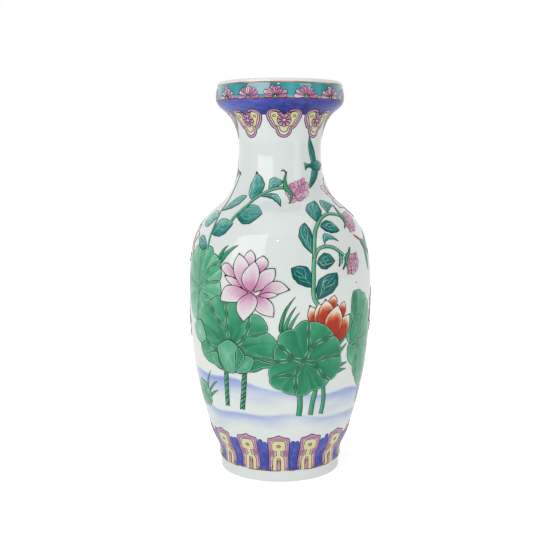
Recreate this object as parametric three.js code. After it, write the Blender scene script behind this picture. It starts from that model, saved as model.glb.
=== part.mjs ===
// Porcelain baluster vase with a flared collar and an upright mouth rim.
// Millimetres, +Z up. The origin is the centre of the foot ring's resting face.
//
// The pot is thrown in rings that are luted together before firing: foot ring, floor disc, lower
// body, upper body, neck, collar and mouth rim. The continuous bands and lines of fused enamel lie
// on its glaze as thin sleeves. Every piece is a solid of revolution about Z.
import * as THREE from "three";

// Driving dimensions.
const HEIGHT = 305;
const FOOT_RADIUS = 47.5;
const BELLY_RADIUS = 72;
const NECK_RADIUS = 32;
const MOUTH_RADIUS = 49.7;
const WALL = 4.5; // square to the surface
const ENAMEL = 0.3; // square to the surface
const SEGMENTS = 48;

// Heights of the joints between the luted rings.
const FLOOR_UNDERSIDE_Z = 9;
const FLOOR_TOP_Z = 14;
const BELLY_Z = 145; // the widest point
const NECK_ROOT_Z = 226;
const COLLAR_ROOT_Z = 268;
const RIM_ROOT_Z = 290;

// What the outer curve passes through between the foot and the rim. A lean is the direction of the
// wall, in degrees from upright, outwards as it rises.
const FOOT_TOP_Z = 8; // the foot's upright side ends here
const SHOULDER = { r: 47.4, z: 212.2, lean: -45 }; // the steepest point
const NECK_WAIST_Z = 255;
const COLLAR = { r: 40.4, z: 281, lean: 47 };
const RIM_UPRIGHT_Z = 296; // the wall is upright from here to the lip

// Enamel bands and lines.
const LINE_WIDTH = 0.8;
const FOOT_LINE_Z = 8.7;
const FOOT_BAND_TOP_Z = 41;
const COLLAR_BAND_Z = 279;
const RIM_BAND_TOP_Z = 301.6;

// Foot ring and lip.
const FOOT_RING_WIDTH = 5;
const FOOT_EDGE = 1.3; // rounding of the two resting edges
const EDGE_STEPS = 3;
const LIP_RADIUS = WALL / 2;
const LIP_STEPS = 6;

// Tallest facet of the wall in each stretch, from the foot upwards.
const FACETS = [
  { top: BELLY_Z, height: 16 },
  { top: NECK_ROOT_Z, height: 9 },
  { top: COLLAR_ROOT_Z, height: 9 },
  { top: HEIGHT, height: 4 },
];
const CURVE_STEPS = 80; // how finely each curve is sampled before a radius is read from it

const PORCELAIN = { color: 0xe3e8e3, roughness: 0.12, metalness: 0 };
const TEAL = { color: 0x35a3a0, roughness: 0.2, metalness: 0 };
const BLUE = { color: 0x4a52b8, roughness: 0.2, metalness: 0 };
const IRON_RED = { color: 0x9c3a2a, roughness: 0.3, metalness: 0 };

function point(r, z) {
  return new THREE.Vector2(r, z);
}

// The point a distance away from another, in a direction given by its lean.
function along(start, lean, distance) {
  const angle = THREE.MathUtils.degToRad(lean);
  return point(start.x + distance * Math.sin(angle), start.y + distance * Math.cos(angle));
}

// A stretch of wall from one point to another. A handle is the distance from that end to its
// control point, along the wall.
function stretch(from, to, leanFrom, leanTo, handleFrom, handleTo) {
  const leaving = along(from, leanFrom, handleFrom);
  const arriving = along(to, leanTo, -handleTo);
  return new THREE.CubicBezierCurve(from, leaving, arriving, to).getPoints(CURVE_STEPS);
}

function outerCurve() {
  const foot = point(FOOT_RADIUS, FOOT_TOP_Z);
  const belly = point(BELLY_RADIUS, BELLY_Z);
  const shoulder = point(SHOULDER.r, SHOULDER.z);
  const waist = point(NECK_RADIUS, NECK_WAIST_Z);
  const collar = point(COLLAR.r, COLLAR.z);
  const rim = point(MOUTH_RADIUS, RIM_UPRIGHT_Z);
  return [
    ...stretch(foot, belly, 0, 0, 14, 92.5),
    ...stretch(belly, shoulder, 0, SHOULDER.lean, 48.5, 18),
    ...stretch(shoulder, waist, SHOULDER.lean, 0, 5.5, 36),
    ...stretch(waist, collar, 0, COLLAR.lean, 3, 11),
    ...stretch(collar, rim, COLLAR.lean, 0, 10.5, 10),
  ];
}

const OUTER_CURVE = outerCurve();

function outerRadius(z) {
  if (z <= FOOT_TOP_Z) return FOOT_RADIUS;
  if (z >= RIM_UPRIGHT_Z) return MOUTH_RADIUS;
  const above = OUTER_CURVE.findIndex((p) => p.y > z);
  const low = OUTER_CURVE[above - 1];
  const high = OUTER_CURVE[above];
  return THREE.MathUtils.mapLinear(z, low.y, high.y, low.x, high.x);
}

// A layer with this thickness square to the surface is wider along the radius where the wall leans.
function widthAlongRadius(z, thickness) {
  const reach = 0.5;
  const slope = (outerRadius(z + reach) - outerRadius(z - reach)) / (2 * reach);
  return thickness * Math.hypot(1, slope);
}

function onWall(z) {
  return point(outerRadius(z), z);
}

function insideWall(z) {
  return point(outerRadius(z) - widthAlongRadius(z, WALL), z);
}

function proudOfWall(z) {
  return point(outerRadius(z) + widthAlongRadius(z, ENAMEL), z);
}

// Evenly spaced numbers from low to high, both included.
function spaced(low, high, steps) {
  return Array.from({ length: steps + 1 }, (_, i) => low + ((high - low) * i) / steps);
}

// Heights of the wall's facet edges. Each joint and each edge of a band is one of them, so that a
// sleeve has the same facets as the wall under it.
function facetLevels() {
  const stations = [
    FOOT_TOP_Z,
    FOOT_LINE_Z,
    FOOT_LINE_Z + LINE_WIDTH,
    FLOOR_TOP_Z,
    FOOT_BAND_TOP_Z,
    BELLY_Z,
    NECK_ROOT_Z,
    COLLAR_ROOT_Z,
    COLLAR_BAND_Z,
    RIM_ROOT_Z,
    RIM_ROOT_Z + LINE_WIDTH,
    RIM_BAND_TOP_Z,
    RIM_BAND_TOP_Z + LINE_WIDTH,
  ];
  const levels = stations.slice(0, -1).flatMap((low, i) => {
    const high = stations[i + 1];
    const tallest = FACETS.find((part) => high <= part.top).height;
    return spaced(low, high, Math.ceil((high - low) / tallest)).slice(0, -1);
  });
  return [...levels, stations.at(-1)];
}

const LEVELS = facetLevels();

function levelsBetween(low, high) {
  return LEVELS.filter((z) => z >= low && z <= high);
}

// Points of an arc about (r, z). Angles are in degrees, from outwards towards upwards.
function arc(r, z, radius, start, end, steps) {
  return spaced(start, end, steps).map((degrees) => {
    const angle = THREE.MathUtils.degToRad(degrees);
    return point(r + radius * Math.cos(angle), z + radius * Math.sin(angle));
  });
}

const vase = new THREE.Group();
vase.name = "vase";

// Turns a profile about Z. It runs up the outer side and down the inner side.
function addTurned(name, profile, finish) {
  const geometry = new THREE.LatheGeometry(profile, SEGMENTS);
  geometry.rotateX(Math.PI / 2);
  const mesh = new THREE.Mesh(geometry, new THREE.MeshStandardMaterial(finish));
  mesh.name = name;
  vase.add(mesh);
}

function addTurnedRing(name, profile, finish) {
  addTurned(name, [...profile, profile[0]], finish);
}

// A ring of wall between two joints. It meets its neighbours face to face.
function addWallRing(name, low, high) {
  const levels = levelsBetween(low, high);
  const inner = levels.toReversed().map(insideWall);
  addTurnedRing(name, [...levels.map(onWall), ...inner], PORCELAIN);
}

// A sleeve of enamel on the outside of the wall between two heights.
function addSleeve(name, low, high, finish) {
  const levels = levelsBetween(low, high);
  const inner = levels.toReversed().map(onWall);
  addTurnedRing(name, [...levels.map(proudOfWall), ...inner], finish);
}

// The foot ring has rounded resting edges with a flat face between them.
function addFootRing() {
  const inner = FOOT_RADIUS - FOOT_RING_WIDTH;
  addTurnedRing(
    "foot_ring",
    [
      ...arc(FOOT_RADIUS - FOOT_EDGE, FOOT_EDGE, FOOT_EDGE, -90, 0, EDGE_STEPS),
      ...levelsBetween(FOOT_TOP_Z, FLOOR_TOP_Z).map(onWall),
      point(inner, FLOOR_TOP_Z),
      point(inner, FLOOR_UNDERSIDE_Z),
      ...arc(inner + FOOT_EDGE, FOOT_EDGE, FOOT_EDGE, 180, 270, EDGE_STEPS),
    ],
    PORCELAIN,
  );
}

// The floor disc closes the foot ring and leaves a recess under it.
function addFloorDisc() {
  const edge = FOOT_RADIUS - FOOT_RING_WIDTH;
  addTurned(
    "floor_disc",
    [
      point(0, FLOOR_UNDERSIDE_Z),
      point(edge, FLOOR_UNDERSIDE_Z),
      point(edge, FLOOR_TOP_Z),
      point(0, FLOOR_TOP_Z),
    ],
    PORCELAIN,
  );
}

// The upright mouth rim ends in a round lip.
function addMouthRim() {
  const levels = levelsBetween(RIM_ROOT_Z, RIM_BAND_TOP_Z + LINE_WIDTH);
  const lipR = MOUTH_RADIUS - LIP_RADIUS;
  const lipZ = HEIGHT - LIP_RADIUS;
  addTurnedRing(
    "mouth_rim",
    [
      ...levels.map(onWall),
      ...arc(lipR, lipZ, LIP_RADIUS, 0, 180, LIP_STEPS),
      ...levels.toReversed().map(insideWall),
    ],
    PORCELAIN,
  );
}

addFootRing();
addFloorDisc();
addWallRing("lower_body", FLOOR_TOP_Z, BELLY_Z);
addWallRing("upper_body", BELLY_Z, NECK_ROOT_Z);
addWallRing("neck", NECK_ROOT_Z, COLLAR_ROOT_Z);
addWallRing("mouth_collar", COLLAR_ROOT_Z, RIM_ROOT_Z);
addMouthRim();

addSleeve("foot_line", FOOT_LINE_Z, FOOT_LINE_Z + LINE_WIDTH, IRON_RED);
addSleeve("foot_band_enamel", FOOT_LINE_Z + LINE_WIDTH, FOOT_BAND_TOP_Z, BLUE);
addSleeve("collar_band_enamel", COLLAR_BAND_Z, RIM_ROOT_Z, BLUE);
addSleeve("rim_lower_line", RIM_ROOT_Z, RIM_ROOT_Z + LINE_WIDTH, IRON_RED);
addSleeve("rim_band_enamel", RIM_ROOT_Z + LINE_WIDTH, RIM_BAND_TOP_Z, TEAL);
addSleeve("rim_upper_line", RIM_BAND_TOP_Z, RIM_BAND_TOP_Z + LINE_WIDTH, IRON_RED);

export default vase;
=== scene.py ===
# A porcelain baluster vase painted with a lotus pond in overglaze enamels, built around its CAD frame.
#
# The pot's rings are remade as smooth turned rings. The painting is real thin relief: each brush
# mark is a closed sheet of enamel laid on the glaze. A place on the pot is given in a chart, by its
# angle in degrees round the axis (0 faces the viewer, positive to the right) and its height in
# millimetres. A motif is drawn in millimetres on a flat plane at a Spot of the chart, with complex
# numbers for points: x to the right and y up.
import cmath
import math
import random

import bpy
import numpy as np
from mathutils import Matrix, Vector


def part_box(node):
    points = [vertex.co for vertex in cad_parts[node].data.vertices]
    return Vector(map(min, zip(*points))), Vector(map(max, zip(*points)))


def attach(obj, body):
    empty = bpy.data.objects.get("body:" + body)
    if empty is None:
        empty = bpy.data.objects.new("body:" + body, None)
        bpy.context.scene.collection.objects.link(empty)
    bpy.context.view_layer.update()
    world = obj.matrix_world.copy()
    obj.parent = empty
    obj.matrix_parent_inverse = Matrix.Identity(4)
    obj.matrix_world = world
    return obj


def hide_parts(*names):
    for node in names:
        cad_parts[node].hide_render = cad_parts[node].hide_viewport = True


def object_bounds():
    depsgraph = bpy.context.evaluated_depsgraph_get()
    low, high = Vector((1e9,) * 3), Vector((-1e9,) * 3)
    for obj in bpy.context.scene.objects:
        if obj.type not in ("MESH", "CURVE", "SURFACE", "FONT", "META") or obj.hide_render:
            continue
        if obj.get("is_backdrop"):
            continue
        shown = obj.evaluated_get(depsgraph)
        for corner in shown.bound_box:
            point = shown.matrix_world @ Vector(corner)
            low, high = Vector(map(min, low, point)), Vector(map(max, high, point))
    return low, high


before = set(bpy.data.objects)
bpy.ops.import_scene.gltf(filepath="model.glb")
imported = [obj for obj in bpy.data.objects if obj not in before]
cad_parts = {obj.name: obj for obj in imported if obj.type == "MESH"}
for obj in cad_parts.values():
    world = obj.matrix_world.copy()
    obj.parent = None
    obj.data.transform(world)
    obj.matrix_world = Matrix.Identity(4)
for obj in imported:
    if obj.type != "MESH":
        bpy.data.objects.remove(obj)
CAD_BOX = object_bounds()
BODY = "root"
MM = 0.001
random.seed(305)

# ---- the pot's outline, from the CAD

FOOT_NODE = "foot_ring"
RING_NODES = ("lower_body", "upper_body", "neck", "mouth_collar")
RIM_NODE = "mouth_rim"
SEGMENTS = 256
ROW = 1.5  # height of a row of faces on the wall
SEAM_ROW = 0.05  # the last row before a joint is this thin, so that the joint doesn't show
SHARP = 60  # a bend of more degrees than this stays a hard edge


def node_outline(node):
    """The (radius, height) pairs of a CAD node's vertices, in mm, lowest first."""
    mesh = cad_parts[node].data
    flat = np.empty(len(mesh.vertices) * 3)
    mesh.vertices.foreach_get("co", flat)
    x, y, z = flat.reshape(-1, 3).T / MM
    return np.unique(np.round(np.c_[z, np.hypot(x, y)], 2), axis=0)[:, ::-1]


def wall_points(nodes, pick, low, high):
    """The wall's outermost or innermost points between two heights."""
    points = np.concatenate([node_outline(node) for node in nodes])
    levels = [z for z in np.unique(points[:, 1]) if low <= z <= high]
    return np.array([(pick(points[points[:, 1] == z, 0]), z) for z in levels])


def smooth_curve(points, step=0.25):
    """A natural cubic spline through (radius, height) points."""
    gaps = np.hypot(*np.diff(points, axis=0).T)
    t = np.r_[0, np.cumsum(gaps)]
    system, right = np.eye(len(t)), np.zeros((len(t), 2))
    for i in range(1, len(t) - 1):
        h0, h1 = gaps[i - 1], gaps[i]
        system[i, i - 1 : i + 2] = h0, 2 * (h0 + h1), h1
        right[i] = 6 * ((points[i + 1] - points[i]) / h1 - (points[i] - points[i - 1]) / h0)
    bend = np.linalg.solve(system, right)
    s = np.r_[np.arange(0, t[-1], step), t[-1]]
    i = np.clip(np.searchsorted(t, s, side="right") - 1, 0, len(gaps) - 1)
    h = gaps[i, None]
    a, b = t[i + 1, None] - s[:, None], s[:, None] - t[i, None]
    cubic = (bend[i] * a**3 + bend[i + 1] * b**3) / (6 * h)
    return cubic + (points[i] / h - bend[i] * h / 6) * a + (points[i + 1] / h - bend[i + 1] * h / 6) * b


FOOT_PLAIN = 8.5  # the foot is bare of enamel up to this height
FLAT = 0.01  # what lies below this is on the flat resting face
FOOT = node_outline(FOOT_NODE)
FOOT_INNER, FOOT_RADIUS = FOOT[:, 0].min(), FOOT[FOOT[:, 1] < FOOT_PLAIN, 0].max()
REST_IN, REST_OUT = FOOT[FOOT[:, 1] < FLAT, 0][[0, -1]]
FOOT_EDGE = REST_IN - FOOT_INNER
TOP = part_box(RIM_NODE)[1].z / MM
RIM = node_outline(RIM_NODE)
LIP_DEPTH = 2.5  # the lip is within this much of the top
LIP_HEIGHT = (RIM[:, 0].max() - RIM[RIM[:, 1] > TOP - LIP_DEPTH, 0].min()) / 2
LIP_Z = TOP - LIP_HEIGHT
RIM_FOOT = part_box(RIM_NODE)[0].z / MM
RIM_DRAW = 1.5  # the rim's wall draws in by this much from its foot to its lip
LIP_HALF = LIP_HEIGHT - RIM_DRAW / 2  # half the lip's thickness
LIP_R = RIM[:, 0].max() - RIM_DRAW - LIP_HALF
OUTER = smooth_curve(wall_points((FOOT_NODE, *RING_NODES, RIM_NODE), np.max, FOOT_EDGE, LIP_Z))
OUTER[:, 0] -= RIM_DRAW * (np.clip(OUTER[:, 1] - RIM_FOOT, 0, None) / (LIP_Z - RIM_FOOT)) ** 2
INNER = smooth_curve(wall_points((*RING_NODES, RIM_NODE), np.min, 0, LIP_Z))
LEAN = np.arctan(np.gradient(OUTER[:, 0], OUTER[:, 1]))
CLIMB = np.r_[0, np.cumsum(np.hypot(*np.diff(OUTER, axis=0).T))]  # distance up the wall


def radius_at(z):
    return np.interp(z, OUTER[:, 1], OUTER[:, 0])


def climb_to(z):
    return np.interp(z, OUTER[:, 1], CLIMB)


def on_pot(angle, z, lift):
    """Points in metres at chart places, raised off the glaze by a lift in mm."""
    lean = np.interp(z, OUTER[:, 1], LEAN)
    out = radius_at(z) + lift * np.cos(lean)
    turn = np.radians(angle)
    return np.stack([out * np.sin(turn), -out * np.cos(turn), z - lift * np.sin(lean)], -1) * MM


# ---- node materials


def feed(tree, node, inputs):
    """Sets a node's inputs, by name or number, each to a constant or to another node's output."""
    for key, value in inputs.items():
        if isinstance(value, bpy.types.NodeSocket):
            tree.links.new(value, node.inputs[key])
        else:
            node.inputs[key].default_value = value


def add_node(tree, kind, output, inputs=None):
    """Adds a shader node and returns one of its outputs."""
    node = tree.nodes.new("ShaderNode" + kind)
    feed(tree, node, inputs or {})
    return node.outputs[output]


def node_material(name):
    material = bpy.data.materials.new(name)
    material.use_nodes = True
    return material, material.node_tree, material.node_tree.nodes["Principled BSDF"]


def noise(tree, vector, scale, detail=3.0):
    return add_node(tree, "TexNoise", "Fac", {"Vector": vector, "Scale": scale, "Detail": detail})


def stretched(tree, vector, scale):
    return add_node(tree, "Mapping", "Vector", {"Vector": vector, "Scale": scale})


def remap(tree, value, low, high, start=0.25, end=0.75):
    """Maps a value that runs from start to end, as noise does, to one from low to high."""
    inputs = {"Value": value, "From Min": start, "From Max": end, "To Min": low, "To Max": high}
    return add_node(tree, "MapRange", "Result", inputs)


def add(tree, first, second):
    return add_node(tree, "Math", "Value", {0: first, 1: second})


def vector_math(tree, operation, output, inputs):
    node = tree.nodes.new("ShaderNodeVectorMath")
    node.operation = operation
    feed(tree, node, inputs)
    return node.outputs[output]


def attribute(tree, name, output):
    value = add_node(tree, "Attribute", output)
    value.node.attribute_name = name
    return value


def linear(colour):
    """Linear RGBA from an sRGB hex colour."""
    channels = [int(colour[i : i + 2], 16) / 255 for i in (0, 2, 4)]
    return [c / 12.92 if c <= 0.04045 else ((c + 0.055) / 1.055) ** 2.4 for c in channels] + [1]


def ramp(tree, value, stops):
    """A colour ramp. The stops are (place, sRGB hex colour)."""
    colours = add_node(tree, "ValToRGB", "Color", {"Fac": value})
    elements = colours.node.color_ramp.elements
    while len(elements) < len(stops):
        elements.new(0.5)
    for element, (place, colour) in zip(elements, stops):
        element.position = place
        element.color = linear(colour)
    return colours


def bump(tree, height, depth_mm, strength=0.5):
    inputs = {"Height": height, "Distance": depth_mm * MM, "Strength": strength}
    return add_node(tree, "Bump", "Normal", inputs)


ALONG_BRUSH = (0.12, 1.1, 1.0)  # noise is stretched so, to run along the brush
# An enamel's clear coat: its weight and its index of refraction.
THIN_COAT, LEAD_GLASS = (0.2, 1.5), (1.0, 2.2)


def enamel(name, slot, stops, streak=0.1, mottle=0.08, coat=THIN_COAT):
    """Fused enamel, coloured by each mark's tone, with streaks along the brush and soft mottling."""
    material, tree, shader = node_material(name)
    grain, tone = attribute(tree, "grain", "Vector"), attribute(tree, "tone", "Fac")
    streaks = noise(tree, stretched(tree, grain, ALONG_BRUSH), 1.0)
    cloud = noise(tree, grain, 0.22)
    tone = add(tree, tone, remap(tree, streaks, -streak, streak))
    tone = add(tree, tone, remap(tree, cloud, -mottle, mottle))
    looks = {
        "Base Color": ramp(tree, tone, stops),
        "Roughness": remap(tree, cloud, 0.08, 0.2),
        "Specular IOR Level": 0.3,
        "Coat Weight": coat[0],
        "Coat IOR": coat[1],
        "Coat Roughness": 0.04,
        "Normal": bump(tree, noise(tree, grain, 0.9), 0.04, 0.3),
    }
    feed(tree, shader, looks)
    return slot, material


def clear_glaze():
    """Clear gloss glaze with a faint green-grey tint, over soft washes of blue."""
    material, tree, shader = node_material("clear_glaze")
    place = add_node(tree, "TexCoord", "Object")
    body = ramp(tree, noise(tree, place, 14.0, 4.0), [(0.3, "dbe3e0"), (0.7, "e2e8e5")])
    edge = noise(tree, stretched(tree, place, (30, 30, 90)), 1.0)
    wash = add(tree, attribute(tree, "wash", "Fac"), remap(tree, edge, -0.1, 0.1))
    blue = ramp(tree, wash, [(0.1, "ffffff"), (0.4, "c6d2fc"), (0.75, "98abf4"), (1.0, "8399ef")])
    looks = {
        "Base Color": vector_math(tree, "MULTIPLY", "Vector", {0: body, 1: blue}),
        "Roughness": remap(tree, noise(tree, place, 40.0), 0.03, 0.08),
        "Coat Weight": 0.5,
        "Coat Roughness": 0.03,
        "Normal": bump(tree, noise(tree, place, 55.0, 2.0), 0.05, 0.12),
    }
    feed(tree, shader, looks)
    return "porcelain_glaze", material


def bare_bisque():
    """Unglazed fired porcelain: matt, with fine grit and a warm toasted edge."""
    material, tree, shader = node_material("bare_bisque")
    place = add_node(tree, "TexCoord", "Object")
    grit = noise(tree, place, 900.0, 6.0)
    patches = add(tree, noise(tree, place, 60.0), remap(tree, grit, -0.1, 0.1))
    looks = {
        "Base Color": ramp(tree, patches, [(0.3, "d8c8ac"), (0.55, "e9e1d2"), (0.8, "f0ece2")]),
        "Roughness": remap(tree, grit, 0.55, 0.85),
        "Normal": bump(tree, grit, 0.12),
    }
    feed(tree, shader, looks)
    return "bisque", material


# Each finish is a slot name and a node material.
GLAZE = clear_glaze()
BISQUE = bare_bisque()
TEAL_TONES = [(0.0, "045f5c"), (0.3, "16756f"), (0.55, "45968f"), (0.8, "80bab4"), (1.0, "c2dedb")]
TEAL = enamel("teal_enamel", "teal_enamel", TEAL_TONES, 0.22, 0.12)
RIM_TONES = [(0.0, "0a727c"), (0.4, "22939d"), (0.75, "4aafb4"), (1.0, "8ccfd4")]
RIM_TEAL = enamel("rim_teal_enamel", "teal_enamel", RIM_TONES, coat=LEAD_GLASS)
BLUE_TONES = [(0.0, "283086"), (0.4, "404caa"), (0.75, "606cc8"), (1.0, "9199dc")]
BLUE = enamel("blue_enamel", "blue_enamel", BLUE_TONES, 0.2, 0.2)
GREEN_TONES = [(0.0, "067250"), (0.3, "208a60"), (0.6, "4ba57c"), (0.85, "7abc9e"), (1.0, "a2ccb0")]
GREEN = enamel("green_enamel", "green_enamel", GREEN_TONES)
PINK_TONES = [(0.0, "b86494"), (0.3, "ca8cb2"), (0.6, "d8bccc"), (0.9, "dfdadc")]
PINK = enamel("pink_enamel", "pink_enamel", PINK_TONES)
ORANGE_TONES = [(0.0, "a42200"), (0.26, "b43000"), (0.47, "d98f62"), (0.7, "e9e0d4")]
ORANGE = enamel("orange_enamel", "orange_enamel", ORANGE_TONES)
YELLOW_TONES = [(0.0, "c4c080"), (0.5, "d9d59a"), (1.0, "e7e5bd")]
YELLOW = enamel("yellow_enamel", "yellow_enamel", YELLOW_TONES)
DARK_TONES = [(0.0, "120c0c"), (0.5, "2e2220"), (1.0, "6a5148")]
DARK = enamel("dark_line", "line_dark", DARK_TONES, 0.4)
BROWN_TONES = [(0.0, "1f2c20"), (0.5, "46482f"), (1.0, "857a52")]
BROWN = enamel("brown_line", "line_dark", BROWN_TONES, 0.4)
RED_TONES = [(0.0, "74231c"), (0.5, "a04a34"), (1.0, "c98a68")]
RED = enamel("iron_red_line", "line_red", RED_TONES, 0.5)

# ---- the pot


def hand_in(name, points, faces, finish, nodes=(), values=()):
    """Makes a piece that rides on the body, with its finish, its point values and its CAD nodes."""
    mesh = bpy.data.meshes.new(name)
    mesh.from_pydata(points, [], faces)
    for key, kind, field_name, data in values:
        store = mesh.attributes.new(key, kind, "POINT").data
        store.foreach_set(field_name, np.asarray(data, np.float32).ravel())
    mesh.shade_smooth()
    mesh.set_sharp_from_angle(angle=math.radians(SHARP))
    piece = bpy.data.objects.new(name, mesh)
    bpy.context.scene.collection.objects.link(piece)
    slot, material = finish
    mesh.materials.append(material)
    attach(piece, BODY)
    if nodes:
        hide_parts(*nodes)
    return piece


def quads(index):
    """The quads of a grid of vertex numbers."""
    corners = index[:-1, :-1], index[1:, :-1], index[1:, 1:], index[:-1, 1:]
    return np.stack(corners, -1).reshape(-1, 4).tolist()


# The water's tiers: the height of each one's edge, how far that sways round the pot, how deep the
# tier fades, how blue it is, and where its waves and its patches start.
WATER_TIERS = ((78.2, 8.5, 9, 0.95, 3.66, -2.1), (56.5, 3, 8, 0.7, 1.3, 3.6))
WAVE, CHOP = 1.6, 0.9  # the height in mm of an edge's four long waves and nine short ones
EDGE_FADE = 3  # mm over which a tier's edge fades in
PATCHY = 0.28  # how much the blue varies round the pot


def water_wash(angle, z):
    """How blue the glaze is: two tiers of water, sharp at the top and fading downwards."""
    a = np.radians(angle)
    total = np.zeros_like(z)
    for top, sway, depth, strength, phase, patch in WATER_TIERS:
        edge = top - sway * np.sin(a) + WAVE * np.sin(4 * a + phase) + CHOP * np.sin(9 * a)
        below = edge - z
        rise = np.clip(below / EDGE_FADE + 0.5, 0, 1)
        patchy = 1 - PATCHY + PATCHY * np.sin(3 * a + patch)
        total += strength * patchy * rise**2 * np.exp(-np.maximum(below, 0) / depth)
    return total


def turned(name, profile, finish, nodes=(), solid=False):
    """A smooth solid of revolution. The profile of (radius, height) points runs up the outside and
    down the inside. A solid profile starts and ends on the axis."""
    profile = np.array(profile, float)
    turn = np.linspace(0, 2 * np.pi, SEGMENTS, endpoint=False)
    body = profile[1:-1] if solid else profile
    r, z = body[:, :1], np.broadcast_to(body[:, 1:], (len(body), SEGMENTS))
    points = np.stack([r * np.sin(turn), -r * np.cos(turn), z], -1).reshape(-1, 3) * MM
    index = np.arange(len(points)).reshape(-1, SEGMENTS)
    grid = index if solid else np.concatenate([index, index[:1]])
    grid = np.concatenate([grid, grid[:, :1]], 1)
    faces = quads(grid[::-1])
    if solid:
        first, last = len(points), len(points) + 1
        points = np.r_[points, [[0, 0, profile[0, 1] * MM], [0, 0, profile[-1, 1] * MM]]]
        for middle, row in ((first, grid[0][::-1]), (last, grid[-1])):
            faces += [(middle, int(a), int(b)) for a, b in zip(row, row[1:])]
    angle = np.degrees(np.arctan2(points[:, 0], -points[:, 1]))
    wash = water_wash(angle, points[:, 2] / MM)
    return hand_in(name, points.tolist(), faces, finish, nodes, [("wash", "FLOAT", "value", wash)])


def rows(low, high):
    """Heights from low to high, with a thin row at each end."""
    count = max(2, round((high - low) / ROW))
    return np.r_[low, np.linspace(low + SEAM_ROW, high - SEAM_ROW, count + 1), high]


def up_outside(low, high):
    return [(float(radius_at(z)), z) for z in rows(low, high)]


def down_inside(low, high):
    return [(float(np.interp(z, INNER[:, 1], INNER[:, 0])), z) for z in rows(low, high)[::-1]]


def arc(r, z, radius, start, end, steps=10):
    """Points of an arc about (r, z), from outwards towards upwards, in degrees."""
    turn = np.radians(np.linspace(start, end, steps + 1))
    return list(zip(r + radius * np.cos(turn), z + radius * np.sin(turn)))


def heights_of(node):
    low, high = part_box(node)
    return low.z / MM, high.z / MM


def make_pot():
    for node in RING_NODES:
        span = heights_of(node)
        turned(node + "_wall", up_outside(*span) + down_inside(*span), GLAZE, (node,))
    base, _ = heights_of(RIM_NODE)
    lip = [(LIP_R + LIP_HALF * x, LIP_Z + LIP_HEIGHT * z) for x, z in arc(0, 0, 1, 0, 180, 16)]
    rim = up_outside(base, LIP_Z)[:-1] + lip + down_inside(base, LIP_Z)[1:]
    turned("mouth_rim_lip", rim, GLAZE, (RIM_NODE,))
    make_foot()


def make_foot():
    """The glazed foot ring, its bare resting edge, and the floor with its thrown spiral."""
    _, ring_top = heights_of(FOOT_NODE)
    under, floor = heights_of("floor_disc")
    wiped = 0.06  # the glaze is wiped back from the resting face by this much
    radius = FOOT_EDGE - wiped
    ring = arc(FOOT_RADIUS - FOOT_EDGE, FOOT_EDGE, radius, -90, 0)[:-1]
    ring += up_outside(FOOT_EDGE, ring_top)
    ring += [(FOOT_INNER, ring_top), (FOOT_INNER, under)]
    ring += arc(FOOT_INNER + FOOT_EDGE, FOOT_EDGE, radius, 180, 270)
    turned("foot_ring_wall", ring, GLAZE, (FOOT_NODE,))
    edge, bevel, sunk = 0.3, 0.12, 0.5  # how far the bare clay spreads, slopes and reaches up
    bare = [(REST_OUT, 0), (REST_OUT + edge, bevel), (REST_OUT + edge, sunk)]
    bare += [(REST_IN - edge, sunk), (REST_IN - edge, bevel), (REST_IN, 0)]
    turned("foot_resting_edge", bare, BISQUE)
    ridge, dish, dome = 0.12, 0.35, 0.5  # the thrown ridges, the floor's hollow and its underside's
    across = np.linspace(0, FOOT_INNER, 60)
    spiral = ridge * np.sin(across * 0.9) * np.clip(across / 10, 0, 1)
    hollow = dish * np.cos(across / FOOT_INNER * 1.5)
    upper = list(zip(across, floor - hollow + spiral - ridge))
    lower = list(zip(across, under + dome * np.cos(across / FOOT_INNER * np.pi / 2)))
    turned("floor_disc_thrown", lower + upper[::-1], GLAZE, ("floor_disc",), solid=True)


# ---- sheets of enamel

SUNK = 0.1  # a sheet's underside lies this far inside the glaze, in mm
FIRST_LIFT = 0.06
LEVEL = 0.05  # each level of overlapping marks lies this much higher
LINE_RISE = 0.04


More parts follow.
